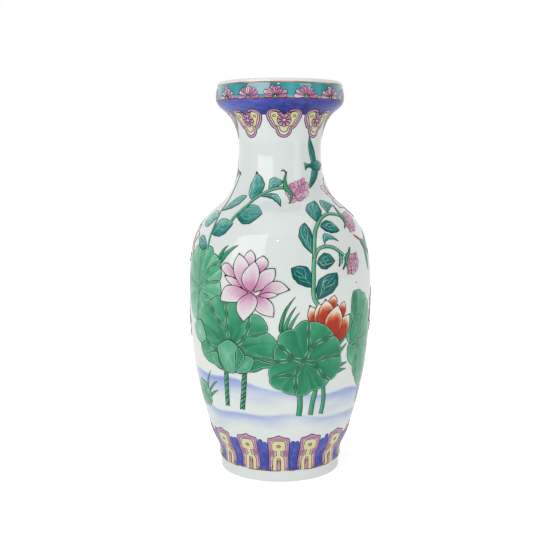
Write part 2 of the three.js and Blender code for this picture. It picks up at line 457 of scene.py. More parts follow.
class Enamel:
    """The brush marks of one enamel in one motif, gathered and then made into one piece."""

    def __init__(self, name, finish):
        self.name, self.finish = name, finish
        self.points, self.faces, self.tones, self.grains = [], [], [], []
        self.count = 0

    def sheet(self, angle, z, lift, tone, grain, wrap=None):
        """A closed thin sheet over a grid of chart places. Wrapped along its columns it is a disc
        whose first row is its middle, and wrapped along its rows it is a band."""
        onward = np.diff(angle, axis=0)[:, :-1], np.diff(z, axis=0)[:, :-1]
        across = np.diff(angle, axis=1)[:-1], np.diff(z, axis=1)[:-1]
        if (onward[0] * across[1] - onward[1] * across[0]).sum() < 0:
            angle, z, lift, tone, grain = (np.flip(v, 1) for v in (angle, z, lift, tone, grain))
        top = np.arange(angle.size).reshape(angle.shape) + self.count
        low = top + angle.size
        if wrap == "rows":
            top, low = (np.concatenate([v, v[:1]]) for v in (top, low))
            walls = [(top[:, 0], low[:, 0]), (top[::-1, -1], low[::-1, -1])]
        elif wrap == "columns":
            top, low = (np.concatenate([v, v[:, :1]], 1) for v in (top, low))
            walls = [(top[-1], low[-1])]
            self.faces += [top[0][:-1].tolist(), low[0][-2::-1].tolist()]
        else:
            walls = [[np.r_[v[:, 0], v[-1, 1:], v[-2::-1, -1], v[0, -2::-1]] for v in (top, low)]]
        self.faces += quads(top) + quads(low[:, ::-1])
        for upper, lower in walls:
            self.faces += quads(np.stack([upper, lower]))
        self.points += on_pot(angle, z, lift).reshape(-1, 3).tolist()
        self.points += on_pot(angle, z, np.full(z.shape, -SUNK)).reshape(-1, 3).tolist()
        self.tones += 2 * tone.ravel().tolist()
        self.grains += 2 * grain.reshape(-1, 3).tolist()
        self.count += 2 * angle.size

    def make(self, nodes=()):
        values = [
            ("tone", "FLOAT", "value", self.tones),
            ("grain", "FLOAT_VECTOR", "vector", self.grains),
        ]
        return hand_in(self.name, self.points, self.faces, self.finish, nodes, values)


def make_all(*paints):
    for paint in paints:
        paint.make()


class Side:
    """One side of the pot's painting: the chart angle of its middle, and whether it is mirrored."""

    def __init__(self, name, middle, mirrored=False):
        self.name, self.middle = name, middle
        self.sign = -1 if mirrored else 1


FRONT = Side("front", 0)


class Spot:
    """A flat drawing plane laid on the pot, in mm, with the level that the next mark is laid at.
    Its angle is counted from the middle of its side of the pot."""

    def __init__(self, angle, z, level=0.0, side=FRONT, turn=0, size=1, flip=False):
        self.angle, self.z, self.level, self.side = angle, z, level, side
        self.spin = size * cmath.exp(1j * math.radians(turn))
        self.flip = flip

    def at(self, angle, z):
        """The drawing point at a chart place, for a spot that is neither turned nor resized."""
        per_degree = math.radians(1) * float(radius_at(z))
        return (angle - self.angle) * per_degree + 1j * float(climb_to(z) - climb_to(self.z))

    def chart(self, points):
        p = -np.conj(points) if self.flip else np.asarray(points)
        p = p * self.spin
        z = np.interp(climb_to(self.z) + p.imag, CLIMB, OUTER[:, 1])
        angle = self.angle + np.degrees(p.real / radius_at(z))
        return self.side.middle + self.side.sign * angle, z

    def lay(self, paint, grid, tone, lift=0.0, grain=None, wrap=None):
        """Lays a sheet of enamel over a grid of drawing points."""
        angle, z = self.chart(grid)
        lift = np.broadcast_to(FIRST_LIFT + LEVEL * self.level + lift, grid.shape)
        if grain is None:
            grain = grid.real, grid.imag
        seed = np.full(grid.shape, random.uniform(0, 900))
        grain = np.stack([np.broadcast_to(g, grid.shape) for g in grain] + [seed], -1)
        paint.sheet(angle, z, lift, np.broadcast_to(tone, grid.shape), grain, wrap)


# ---- curves on the drawing plane


def bezier(*points, count=20):
    """A Bezier curve through its first and last points."""
    t = np.linspace(0, 1, count)
    level = [np.full(count, p, complex) for p in points]
    while len(level) > 1:
        level = [a + (b - a) * t for a, b in zip(level, level[1:])]
    return level[0]


def through(points, closed=False, step=1.2):
    """A smooth curve through points, about evenly stepped (Catmull-Rom)."""
    p = np.asarray(points, complex)
    p = np.r_[p[-1], p, p[:2]] if closed else np.r_[2 * p[0] - p[1], p, 2 * p[-1] - p[-2]]
    pieces = []
    for a, b, c, d in zip(p, p[1:], p[2:], p[3:]):
        t = np.linspace(0, 1, max(3, round(abs(c - b) / step) + 1))[:-1]
        bend = (2 * a - 5 * b + 4 * c - d) * t**2 + (3 * b - 3 * c + d - a) * t**3
        pieces.append(b + ((c - a) * t + bend) / 2)
    curve = np.concatenate(pieces)
    return curve if closed else np.r_[curve, p[-2]]


def ellipse(centre, wide, high, count=16):
    turn = 2 * np.pi * np.arange(count) / count
    return centre + wide * np.cos(turn) + 1j * high * np.sin(turn)


def heading(degrees):
    return cmath.exp(1j * math.radians(degrees))


def distance(path):
    """The distance along a path at each of its points."""
    return np.r_[0, np.cumsum(np.abs(np.diff(path)))]


def left_of(path):
    """The unit direction to the left of a path at each of its points."""
    onward = np.gradient(path)
    return 1j * onward / np.abs(onward)


def shrunk(outline, inwards):
    """A closed outline, listed anticlockwise, moved inwards."""
    onward = np.roll(outline, -1) - np.roll(outline, 1)
    return outline + 1j * onward / np.abs(onward) * inwards


def mirrored(half):
    """A closed outline, anticlockwise, from its right half, listed upwards from its lowest point."""
    half = np.asarray(half, complex)
    return np.r_[half, -np.conj(half[-2:0:-1])]


# ---- brush marks

STROKE_SPREAD = 9  # mm of brush grain across each radian round a field's centre
SWELL = 5  # a line gains its full width within a fifth of its length
WOBBLE, WOBBLE_TURN = 0.15, 0.6  # how much a line's width varies, and its radians for each mm
LINE_DIP = 0.005  # a line's sides lie this much under the level


def line(spot, ink, path, width=0.6, ends=(0.45, 0.6), tone=0.3):
    """A brush line, arched across and thinner at its ends."""
    path = np.asarray(path)
    s = distance(path)
    t = s / s[-1]
    swell = np.minimum(1, np.minimum(ends[0] + SWELL * t, ends[1] + SWELL * (1 - t)))
    wobble = 1 + WOBBLE * np.sin(s * WOBBLE_TURN + random.uniform(0, 6))
    across = np.array([-1, 0, 1])
    grid = path[:, None] + (left_of(path) * width / 2 * swell * wobble)[:, None] * across
    tone = tone + 0.25 * (1 - swell)[:, None]
    lift = LINE_RISE * (1 - np.abs(across)) - LINE_DIP
    spot.lay(ink, grid, tone, lift, (s[:, None], 0.4 * across))


def ring_line(spot, ink, outline, width=0.5, tone=0.3):
    """A brush line just inside a closed outline."""
    grid = np.stack([outline, shrunk(outline, width / 2), shrunk(outline, width)], 1)
    spot.lay(ink, grid, tone, np.array([0, LINE_RISE, 0]) - LINE_DIP, wrap="rows")


def field(spot, paint, outline, centre=None, tone=0.5, rings=7):
    """A filled outline that can be seen whole from its centre. The tone may be a function of the
    distance out from the centre, 0 to 1."""
    outline = np.asarray(outline)
    centre = outline.mean() if centre is None else centre
    out = np.linspace(0.04, 1, rings)[:, None]
    arms = outline - centre
    grid = centre + arms * out
    grain = np.abs(arms) * out, np.broadcast_to(np.unwrap(np.angle(arms)) * STROKE_SPREAD, grid.shape)
    spot.lay(paint, grid, tone(out) if callable(tone) else tone, 0.0, grain, "columns")


def dot(spot, ink, place, radius=0.45, tone=0.15):
    field(spot, ink, ellipse(place, radius, radius, 10), None, tone, 3)


def ribbon(middle, width):
    """A shape about a middle line. A shape is its left and right edges and the place along it."""
    half = left_of(middle) * width / 2
    return middle + half, middle - half, distance(middle) / distance(middle)[-1]


def blade_shape(base, tip, width, bend=0.0, blunt=0.6, sharp=0.8, count=22):
    """A pointed shape, blunt at its base for a low power and sharp at its tip for a high one."""
    base, tip = complex(base), complex(tip)
    middle = bezier(base, (base + tip) / 2 + 1j * (tip - base) * bend, tip, count=count)
    t = (1 - np.cos(np.linspace(0, np.pi, count))) / 2
    middle = np.interp(t, np.linspace(0, 1, count), middle)
    peak = blunt / (blunt + sharp)
    shape = t**blunt * (1 - t) ** sharp / (peak**blunt * (1 - peak) ** sharp)
    left, right, _ = ribbon(middle, width * np.maximum(shape, 0.02))
    return left, right, t


def petal_shape(base, tip, left, right, count=18):
    """A shape with a smooth edge from base to tip on each side, given a point halfway along it."""
    edge = [bezier(base, 2 * half - (base + tip) / 2, tip, count=count) for half in (left, right)]
    return edge[0], edge[1], np.linspace(0, 1, count)


def strip(left, right, count=16):
    """A shape between two smooth edges, each through points of its own from base to tip."""
    t = np.linspace(0, 1, count)
    curves = [through(side, step=0.5) for side in (left, right)]
    edge = [np.interp(t, distance(c) / distance(c)[-1], c) for c in curves]
    return edge[0], edge[1], t


def blade(spot, paint, shape, tone, columns=7):
    """A filled shape. The tone is a number, or a function of the place along it, 0 to 1, and
    across it, -1 on its right edge to 1 on its left, or three numbers: the tone in the middle of
    its base, what it gains towards the tip, and what it gains towards the left edge."""
    left, right, t = shape
    across = np.linspace(-1, 1, columns)
    middle, half = (left + right) / 2, (left - right) / 2
    grid = middle[:, None] + half[:, None] * across
    if isinstance(tone, tuple):
        base, along, leftwards = tone
        tone = base + along * t[:, None] + leftwards * across
    elif callable(tone):
        tone = tone(t[:, None], across)
    spot.lay(paint, grid, tone, grain=(distance(middle)[:, None], np.abs(half)[:, None] * across))


def outlined(spot, paint, ink, shape, tone, columns, width, dark=0.0, ends=(0.6, 0.9)):
    """A filled shape with a brush line along each edge."""
    blade(spot, paint, shape, tone, columns)
    for side in shape[:2]:
        line(spot, ink, side, width, ends, dark)


# ---- flowers and leaves

# Each lotus petal is its base, tip, a point halfway along each edge, and its level. The petals at
# the back come first.
PINK_PETALS = (
    (-2.5 + 17j, -2.3 + 31j, -6.8 + 25j, 1.6 + 25j, 0),
    (-12 + 11j, -26.5 + 17.5j, -20 + 20.5j, -20.5 + 12j, 0),
    (4 + 14j, 7.5 + 27j, 1.5 + 22j, 11 + 21j, 1),
    (-8 + 4j, -22.5 + 11.5j, -17 + 5.5j, -14 + 10j, 1),
    (-5.5 + 1.5j, -11 + 28j, -15 + 15.5j, -2.5 + 18j, 2),
    (1 + 0.5j, 16 + 18j, 5.5 + 14.5j, 14 + 8j, 2),
    (3.7 - 1.4j, 15 - 17j, 14 - 6.5j, 2.5 - 12j, 3),
    (5 - 0.8j, 26.5 + 3j, 16 + 9j, 17 - 0.4j, 3),
    (-3.5 + 1j, -26.5 - 7j, -20 + 4.5j, -11 - 6.5j, 3),
    (4 - 1.5j, 18.5 - 0.6j, 12 + 0.8j, 12 - 3.2j, 4),
    (-1.5 + 0.5j, -7 - 21j, -12.5 - 9j, 3.4 - 8j, 4),
    (-1 + 0.3j, 1.3 + 23j, -8.3 + 11j, 5 + 13j, 4),
)
ORANGE_PETALS = (
    (3.5 + 14j, 6 + 27j, 0.5 + 22j, 8.5 + 21j, 0),
    (12 + 8j, 15.6 + 21.5j, 10.3 + 17j, 17.2 + 14.5j, 0),
    (-9 - 2j, -14.3 + 20.5j, -15.4 + 10j, -5 + 12j, 1),
    (-5 - 3j, -7.8 + 22j, -11 + 10j, -0.5 + 13j, 2),
    (-1 - 4j, -1.8 + 24.3j, -8 + 11.5j, 6 + 13j, 3),
    (10 - 9j, 21.3 + 11.5j, 8 + 5j, 20 - 1j, 3),
    (5 - 6j, 9 + 19.6j, -2.2 + 8j, 13.6 + 6j, 4),
)
# A kind of lotus: its petals, its enamel, and how far out its depth of colour reaches.
PINK_LOTUS, ORANGE_LOTUS = (PINK_PETALS, PINK, 0.8), (ORANGE_PETALS, ORANGE, 2.5)
PETAL_TIP = 1.1  # the tone of a lotus petal's tip
PETAL_RIM = 0.3  # how much paler its edges are
PETAL_LINE = 0.62


def lotus(name, spot, petals, finish, fade):
    """A lotus flower: petals that are deep in colour at their base and white at their tip."""
    fill, ink = Enamel(name + "_petals", finish), Enamel(name + "_outlines", DARK)
    level = spot.level
    for base, tip, left, right, rise in petals:
        spot.level = level + rise
        shape = petal_shape(base, tip, left, right)
        deep = random.uniform(-0.15, 0.05)

        def tone(t, u):
            return deep + (PETAL_TIP - deep) * t**fade + PETAL_RIM * abs(u) ** 4

        outlined(spot, fill, ink, shape, tone, 7, PETAL_LINE)
        spot.level += 0.4
        dot(spot, ink, tip, random.choice((0.45, 0.6, 0.8)), 0)
    make_all(fill, ink)


# A leaf's rim, anticlockwise: each point in mm from the leaf's spot, and how far the lobe after
# it bulges.
BROAD_RIM = (
    (30, 8.5, 0.12), (17, 22, 0.06), (-1, 33, 0.03), (-18.5, 29, 0.05), (-31, 12.5, 0.26),
    (-33, -6, 0.04), (-28.5, -16.5, 0.0), (-16, -20.5, 0.0), (4, -24, 0.02), (15, -22.5, 0.02),
    (26, -19, 0.0), (33, -18, 0.03), (35.5, -12.5, 0.1),
)
BROAD_VEINS = (
    (1 - 1j, -0.7 + 3j, -2 + 8.5j, -2.3 + 19j, -1.5 + 31j),
    (-2 + 8.5j, -9 + 14j, -15 + 20.3j, -18 + 28j),
    (5 - 2j, 7.5 - 1j, 12 + 3j, 15 + 10j, 17 + 20j),
    (12 + 3.5j, 19.8 + 5.4j, 29.5 + 8.4j),
    (8 - 2.3j, 10.8 - 6j, 12.3 - 9.7j, 21 - 10.7j, 29 - 11.6j, 34.5 - 13j),
    (-12 - 8.5j, -18.5 - 6j, -24.2 - 3j, -32 - 5.5j),
)
# A flap is a folded lobe in front of the leaf: its outline in mm and its tone.
BROAD_FLAPS = (
    ((-43 + 5j, -39 + 10.5j, -31 + 12.5j, -25.6 + 4j, -24.8 - 2j, -32 - 5.5j, -40 - 2j), 0.75),
    ((-28.3 - 16.4j, -23.8 - 12.2j, -13 - 9.5j, -11.3 - 17j, -8 - 22.8j, -18 - 20j), 0.5),
    ((19.3 - 12j, 26.8 - 13.5j, 33 - 15j, 32.5 - 18j, 26 - 18.8j, 15 - 22.3j), 0.1),
    ((12.3 - 9.7j, 19.3 - 12j, 18.1 - 17j, 15 - 22.3j, 9.5 - 23.8j, 4 - 23.8j, 7.5 - 18.8j), 0.5),
    ((4.9 - 8.7j, 7.4 - 3.6j, 12.3 - 9.7j, 10.7 - 14.3j, 3.7 - 23.4j), 0.2),
    ((-12 - 7j, -9.5 - 3j, -0.6 + 1.3j, 7.2 - 3.4j, 4.9 - 9j, 3.3 - 23.6j, -5 - 23j, -9.5 - 16j), 0.6),
)
# Dark strokes that fan out from where the leaf is folded: base, tip and width.
BROAD_SHADES = (
    (-4 - 2j, -20 + 8j, 6), (-4 - 1j, -12 + 14j, 6), (-2 + 0j, -4 + 18j, 5), (1 + 0j, 3 + 17j, 5),
    (3 - 1j, 11 + 12j, 5), (8 - 4j, 24 + 0j, 5), (10 - 8j, 24 - 12j, 4),
)
ROUND_RIM = (
    (31, 1.5, 0.05), (24, 18, 0.03), (3.3, 29.8, 0.08), (-8, 24, 0.13), (-20, 13.5, 0.05),
    (-21.5, 0.5, 0.07), (-25, -12.5, 0.08), (-16, -22, 0.02), (-6, -26.5, 0.05), (7.5, -23.5, 0.03),
    (14, -22.5, 0.04), (21.5, -17, 0.1),
)
ROUND_VEINS = (
    (0j, 3.8 + 8.9j, 3 + 19.5j, 3.3 + 29.5j),
    (3.8 + 8.9j, 11.7 + 14.3j, 23.6 + 17.7j),
    (0j, 8.6 - 1.7j, 16.9 + 1.3j, 31 + 1.5j),
    (8.6 - 1.7j, 13.7 - 10.6j, 21.2 - 17j),
    (0j, -3.5 - 4.3j, -6.1 - 10.6j, -12.2 - 10.4j, -24 - 12.4j),
    (-6.1 - 10.6j, -5.4 - 17.6j, -6 - 26j),
    (0j, -8.9 + 2.8j, -13.2 + 8.1j, -19.5 + 13.3j),
    (-8.9 + 2.8j, -14 + 0.7j, -21.3 + 0.5j),
)
TALL_RIM = (
    (25, 7.5, 0.04), (25, 17, 0.06), (15.5, 27.5, 0.08), (6, 31.5, 0.05), (-5, 31, 0.06),
    (-14, 28, 0.06), (-22, 12, 0.06), (-21, -9, 0.05), (-6, -26, 0.08), (9, -17, 0.05),
    (15, -7, 0.05), (25, -5, 0.03),
)
TALL_VEINS = (
    (0j, 5 + 6j, 9 + 11j, 14 + 17j, 24 + 22j),
    (5 + 6j, 14 + 5.5j, 25 + 7j),
    (0j, 6 - 4j, 14 - 7j),
    (0j, 0 + 12j, -1 + 31j),
    (0j, -2 - 12j, -5 - 25j),
    (0j, -10 + 3j, -22 + 6j),
)
LOW_RIM = (
    (9, -1, 0.05), (7, 7, 0.08), (0, 11, 0.08), (-8, 9, 0.06), (-12, 0, 0.06), (-8, -8, 0.08),
    (0, -9, 0.08), (7, -7, 0.06),
)
LOW_VEINS = ((0j, 9 - 1j), (0j, 0 + 11j), (0j, -8 - 8j), (0j, -12 + 0j), (0j, 7 - 7j))
EDGE_RIM = (
    (23, 0, 0.05), (19, 22, 0.05), (11, 31, 0.04), (4, 36, 0.04), (-8, 38, 0.0), (-12, 22, 0.02),
    (-12.5, -1, 0.03), (-5, -20, 0.04), (1, -30, 0.04), (14, -40, 0.02), (24, -14, 0.05),
)
EDGE_VEINS = (
    (0j, -6 - 2j, -12.5 - 1j), (0j, -1 - 16j, 1 - 29j), (0j, 4 + 16j, 8 + 33j), (0j, 22 + 3j),
)
EDGE_FLAPS = (
    ((-11.5 + 31j, -10 + 23j, -6 + 16j, -3.5 + 20j, -3 + 31j, -5.5 + 38j, -9.5 + 38j), 0.05),
    ((-11 + 11j, -10.5 - 2j, -3 + 0j, 2 + 8j, 0 + 19j, -6 + 18j), 0.3),
)

# The small waves of a leaf's rim: how far apart, and how high, in mm.
RIPPLE, RIPPLE_HEIGHT = 9, 0.18
LEAF_HEART = 0.18  # the tone of a leaf's middle
LOBE_SHADE = 0.42  # how much paler a lobe is where it ends than where it starts


def lotus_leaf(name, spot, rim, veins, flaps=(), light=0.0, eye=1.5, shades=()):
    """A lobed lotus leaf. Its veins are narrow green channels between dark lines, and each dark
    line has a pale edge."""
    fill, ink = Enamel(name, GREEN), Enamel(name + "_veins", BROWN)
    ends = [x + 1j * y for x, y, _ in rim]
    outline, place = [], []
    for start, end, (_, _, bulge) in zip(ends, ends[1:] + ends[:1], rim):
        swing = cmath.phase(end / start)
        u = np.arange(0, 1, 1 / max(4, round(abs(end - start) * 0.9)))
        reach = (abs(start) + (abs(end) - abs(start)) * u) * (1 + bulge * np.sin(np.pi * u) ** 0.7)
        reach += RIPPLE_HEIGHT * np.sin(2 * np.pi * u * round(abs(end - start) / RIPPLE))
        outline.append(reach * np.exp(1j * (cmath.phase(start) + swing * u)))
        place.append(u)
    outline, place = np.concatenate(outline), np.concatenate(place)
    slope = LOBE_SHADE * (place - 0.35)
    heart = LEAF_HEART + light
    field(spot, fill, outline, 0, lambda out: heart + slope * out**0.5 + 0.2 * out**3, 12)
    for base, tip, width in shades:
        shape = blade_shape(base, tip, width, 0, 0.3, 0.6)
        spot.level += 0.1
        pale, depth = 0.3 + light, 0.45 + light
        blade(spot, fill, shape, lambda t, u: pale - depth * (1 - t) ** 0.6 * (1 - u * u))
    leaf_edge(spot, fill, ink, outline)
    veins = [through(vein, step=1.0) for vein in veins]
    channel = (fill, 2.6, 1.0), (ink, 2.2, 0.0), (fill, 1.3, 0.2 + light)
    for paint, width, tone in channel:
        spot.level += 0.4
        for vein in veins:
            line(spot, paint, vein, width, (0.7, 0.6), tone)
    ring_line(spot, ink, ellipse(0, eye, eye, 24), 0.55, 0.0)
    for outline, tone in flaps:
        spot.level += 0.8
        flap = through(outline, closed=True)
        if (np.conj(flap - flap.mean()) * (np.roll(flap, -1) - flap)).imag.sum() < 0:
            flap = flap[::-1]
        field(spot, fill, flap, None, lambda out: tone + 0.25 * (1 - out) ** 2, 8)
        leaf_edge(spot, fill, ink, flap)
    make_all(fill, ink)


def leaf_edge(spot, fill, ink, outline):
    """A dark line just inside a leaf's outline, over a wider pale one."""
    spot.level += 0.2
    ring_line(spot, fill, outline, 1.05, 0.8)
    spot.level += 0.3
    ring_line(spot, ink, outline, 0.75, 0.0)


# A branch leaf's pale streaks: where each starts and ends along it, how far out it bows, and its
# width.
STREAKS = (
    (0.06, 0.88, 0, 0.42), (0.12, 0.62, 0.5, 0.36), (0.3, 0.86, 0.72, 0.5), (0.16, 0.6, -0.55, 0.36),
    (0.4, 0.86, -0.5, 0.34), (0.5, 0.8, 0.25, 0.3),
)
LEAF_WAVE, LEAF_WAVES = 0.25, 3.5  # the height in mm of the waves along a leaf's edge, and how many


def branch_leaf(spot, fill, ink, shape, light=0.0):
    """A teal leaf, dark on one side, with pale brush streaks that bow towards its tip."""
    pale = 0.2 * max(light, 0)
    left, right, place = shape
    out = (left - right) / np.maximum(abs(left - right), 0.01)
    turns = LEAF_WAVES * place + random.random()
    wave = LEAF_WAVE * np.sin(np.pi * place) * np.sin(2 * np.pi * turns)
    shape = left + out * wave, right + out * wave, place

    def tone(t, u):
        return 0.08 + light + 0.2 * t + 0.2 * u + pale * abs(u)

    outlined(spot, fill, ink, shape, tone, 7, 0.5)
    left, right, place = shape
    middle, half = (left + right) / 2, (left - right) / 2
    spot.level += 0.2
    for start, end, reach, width in STREAKS:
        t = np.linspace(start + random.uniform(-0.05, 0.05), end + random.uniform(-0.08, 0.06), 12)
        bow = reach * np.sin(np.linspace(0, 0.75 * np.pi, 12))
        streak = np.interp(t, place, middle) + np.interp(t, place, half) * bow
        line(spot, fill, streak, width, (0.6, 0.1), random.uniform(0.5, 0.95))
    spot.level -= 0.2


def stem(spot, fill, ink, points, width=2.4, taper=1.0, twists=0, tone=0.65):
    """A stalk with a dark line on each side, and dark turns across it where it is twisted."""
    middle = through(points, step=1.4)
    t = distance(middle) / distance(middle)[-1]
    shape = ribbon(middle, width * (1 + (taper - 1) * t))
    fine = min(0.5, 0.2 * width * (0.3 + 0.7 * taper))
    outlined(spot, fill, ink, shape, (tone, 0, 0.3), 4, fine, 0.2, (0.8, 0.8))
    left, right, _ = shape
    for k in range(twists):
        i = int((k + 0.2) * (len(middle) - 4) / twists)
        line(spot, ink, bezier(left[i], right[i + 3], count=6), 0.95, tone=0)


BUD_ROUNDING = 0.19  # the outermost scales of a row are this much shorter
SCALE_OVERLAP = 2.3  # how wide a scale is for its share of the fan
# A bud's rows of scales, the farthest first: how far along it they start, how long they are, how
# many there are, and how wide a fan in degrees they make.
BUD_ROWS = (
    (0.62, 0.38, 5, 36), (0.46, 0.32, 4, 34), (0.3, 0.3, 3, 32), (0.12, 0.3, 3, 34), (0.0, 0.2, 2, 26),
)


def bud(spot, pink, ink, root, tip):
    """A pink bud: a fan of overlapping scales that opens away from its root."""
    ahead = tip - root
    length = abs(ahead)
    for start, reach, count, fan in BUD_ROWS:
        for k in range(count):
            share = 2 * k / (count - 1) - 1
            way = ahead / length * heading(fan * share + random.uniform(-2, 2))
            end = length * (start + reach) * (1 - BUD_ROUNDING * share**2)
            width = SCALE_OVERLAP * math.tan(math.radians(fan / (count - 1))) * end
            scale = blade_shape(root + way * length * start, root + way * end, width, 0, 0.5, 0.32, 14)
            outlined(spot, pink, ink, scale, (random.uniform(-0.05, 0.3), 0.35, 0), 5, 0.36, 0.8)
            spot.level += 0.1


def sepal(spot, green, ink, points, width=3.0):
    """A sepal that narrows to a dark point."""
    middle = through(points, step=0.8)
    shape = ribbon(middle, width * (1.15 - distance(middle) / distance(middle)[-1]))
    outlined(spot, green, ink, shape, 0.4, 4, 0.4, 0.1)
    dot(spot, ink, points[-1], 0.6, 0)


def grass(spot, fill, ink, base, tip, width, bend):
    shape = blade_shape(base, tip, width, bend, 0.25, 0.9)
    outlined(spot, fill, ink, shape, (0.3, 0.3, 0.15), 4, 0.42, 0.2)


# A swallow's parts, each by its left and right edges: the wings, the tail and the body.
SWALLOW_PARTS = (
    ((-2.5, -3.9 + 6.6j, -5.6 + 14.3j, -5.5 + 22.7j), (4.5 + 1j, 1.5 + 11j, -1.3 + 16j, -5.5 + 22.7j)),
    ((-2 - 2j, -5 - 8.5j, -8.4 - 15j, -9.3 - 18j), (6.5 - 3j, 1.5 - 10j, -5.5 - 15.4j, -9.3 - 18j)),
    ((-4 + 1.2j, -7 + 1.2j, -10.4 + 2.4j), (-4 - 1.2j, -7 - 1.6j, -9.8 - 3.8j)),
    ((-7 - 0.2j, 0 + 3j, 8 + 3.2j, 14.5 + 0.5j), (-7 - 0.4j, 0 - 3.6j, 8 - 3.8j, 14.5 + 0.5j)),
)


def swallow(name, spot, bill=None):
    """A swallow flying to the right. It becomes a kingfisher with a bill of another enamel."""
    fill, ink = Enamel(name, TEAL), Enamel(name + "_outlines", DARK)
    for part in SWALLOW_PARTS:
        shape = strip(*part)
        outlined(spot, fill, ink, shape, (random.uniform(0.25, 0.4), 0.1, 0.25), 7, 0.36, 0.2)
        left, right, _ = shape
        for share in (0.3, 0.7):
            line(spot, ink, (left * share + right * (1 - share))[5:-3], 0.3, tone=0.6)
        spot.level += 1
    if bill:
        long_bill = Enamel(name + "_bill", bill)
        blade(spot, long_bill, blade_shape(13 + 0.5j, 24 + 0.2j, 2.2, 0, 0.3, 0.8), 0.1, 4)
        long_bill.make()
    line(spot, ink, bezier(13.5 + 0.4j, 16 + 0.5j, (23 if bill else 18) + 0.2j, count=6), 0.7, tone=0)
    dot(spot, ink, 11.5 + 1.6j, 0.45)
    make_all(fill, ink)


# ---- one side's lotus pond

# A branch's leaves: base, tip and a point halfway along each edge, in degrees and mm, and how
# much paler than usual each is.
RIGHT_LEAVES = (
    ((26.9, 200.7), (36.6, 215.1), (22.5, 209.6), (35.5, 207), 0.18),
    ((20.4, 177.5), (17.4, 200.1), (12.4, 190), (21.3, 191), 0.0),
    ((28.6, 197.1), (43.9, 193.7), (37, 201), (35.2, 192.6), 0.0),
    ((28.9, 184.2), (40.1, 186.3), (30.5, 192), (32.5, 188), 0.4),
    ((22.3, 171.8), (34.9, 172.3), (28.3, 178.3), (27.5, 166.8), -0.12),
    ((18.7, 154), (6.6, 168.2), (16.5, 168), (9.5, 158.5), -0.12),
    ((22.5, 145), (35.9, 163.5), (23.5, 159), (34.5, 152), -0.2),
    ((41.6, 206.2), (57.4, 211.3), (43.5, 215), (49, 209.5), 0.3),
    ((38.6, 179), (37.7, 167.7), (41.3, 173), (38.6, 173.5), -0.1),
)
LEFT_LEAVES = (
    ((-28.5, 215.8), (-31.2, 235.8), (-38, 223), (-19, 226.5), 0.34),
    ((-13, 223.6), (4, 229.5), (-10.5, 232), (-3, 225.8), 0.36),
    ((-19.7, 218.4), (0.5, 211.4), (-3.8, 220), (-7.5, 216.6), 0.15),
    ((-34.6, 203.9), (-14.2, 206.4), (-26, 212.5), (-24, 199), 0.25),
    ((-56.5, 207.3), (-38.5, 218.8), (-52, 216.5), (-44.3, 211), 0.38),
    ((-51, 190.5), (-35.2, 199), (-49, 201.5), (-41, 190.5), 0.3),
    ((-55.5, 203), (-72, 199), (-66, 207), (-62, 195.5), 0.55),
    ((-53, 180.5), (-67, 186), (-60, 188.5), (-60, 179), 0.25),
)
# A branch's buds: root, tip, and the course of each sepal from the root.
RIGHT_BUDS = (
    ((54.5, 203), (67.5, 196.5), ((55.5, 207), (57.3, 210.8)), ((54.5, 199), (50.5, 195.3))),
    ((44.5, 174.5), (54.5, 164.5), ((47.2, 177), (48.8, 180.6)), ((43.5, 170), (41, 166))),
)
LEFT_BUDS = (
    ((6.5, 224.8), (32, 220), ((5.8, 230.5), (8, 236.3)), ((12, 220.5), (11.5, 216.5), (9, 213.8))),
)
MAIN_STEM = (
    (22.5, 141), (20.3, 146), (19.7, 151), (19.9, 160), (20.2, 169), (20.9, 176), (21.3, 182),
    (22, 187), (23.5, 193), (26.5, 198), (32, 202.7), (38.5, 205.2), (44.7, 205.6), (50.5, 204.7),
    (54, 203.4),
)
SIDE_TWIG = (
    (20.8, 174), (22.4, 178.7), (25.3, 182), (30.3, 183), (35.3, 181.6), (39.4, 178.6),
    (42.6, 175.6),
)
INNER_STEM = (
    (-38, 200), (-35.9, 205.5), (-31.2, 211.9), (-27.9, 215.8), (-23.3, 218.8), (-17.3, 221),
    (-10.9, 223.2), (-4.2, 224.5), (2.7, 225), (7, 225.2),
)
OUTER_STEM = (
    (-52, 179), (-52.3, 187.3), (-52.6, 194.6), (-54.1, 201), (-57.5, 206.4), (-60.5, 211),
    (-66.5, 217), (-71, 224), (-65, 235),
)


def make_branch(name, spot, stems, leaves, buds):
    """A branch: its stems, then its leaves, then its buds."""
    at = spot.at
    green, teal = Enamel(name + "_stems", GREEN), Enamel(name + "_leaves", TEAL)
    pink, ink = Enamel(name + "_buds", PINK), Enamel(name + "_outlines", DARK)
    for base, tip, left, right, light in leaves:
        shape = petal_shape(at(*base), at(*tip), at(*left), at(*right))
        branch_leaf(spot, teal, ink, shape, light)
    spot.level += 1
    for places, width, taper in stems:
        stem(spot, green, ink, [at(*p) for p in places], width, taper)
    for root, tip, *sepals in buds:
        spot.level += 1
        bud(spot, pink, ink, at(*root), at(*tip))
        spot.level += 0.5
        for points in sepals:
            sepal(spot, green, ink, [at(*p) for p in (root, *points)])
    return green, teal, pink, ink


def right_branch(name, side):
    spot = Spot(25, 180, 3, side)
    stems = (MAIN_STEM, 3.0, 0.75), (SIDE_TWIG, 2.3, 0.9)
    make_all(*make_branch(name, spot, stems, RIGHT_LEAVES, RIGHT_BUDS))


def left_branch(name, side):
    spot = Spot(-20, 212, 3, side)
    stems = (OUTER_STEM, 2.2, 0.15), (INNER_STEM, 2.4, 0.9)
    green, teal, pink, ink = make_branch(name, spot, stems, LEFT_LEAVES, LEFT_BUDS)
    at = spot.at
    line(spot, ink, through([at(1.5, 237.3), at(5, 238), at(8, 235.5)], step=0.8), 0.9, tone=0)
    dot(spot, ink, at(-65, 235), 1.0)
    dot(spot, ink, at(-31.3, 236), 0.9)
    make_all(green, teal, pink, ink)


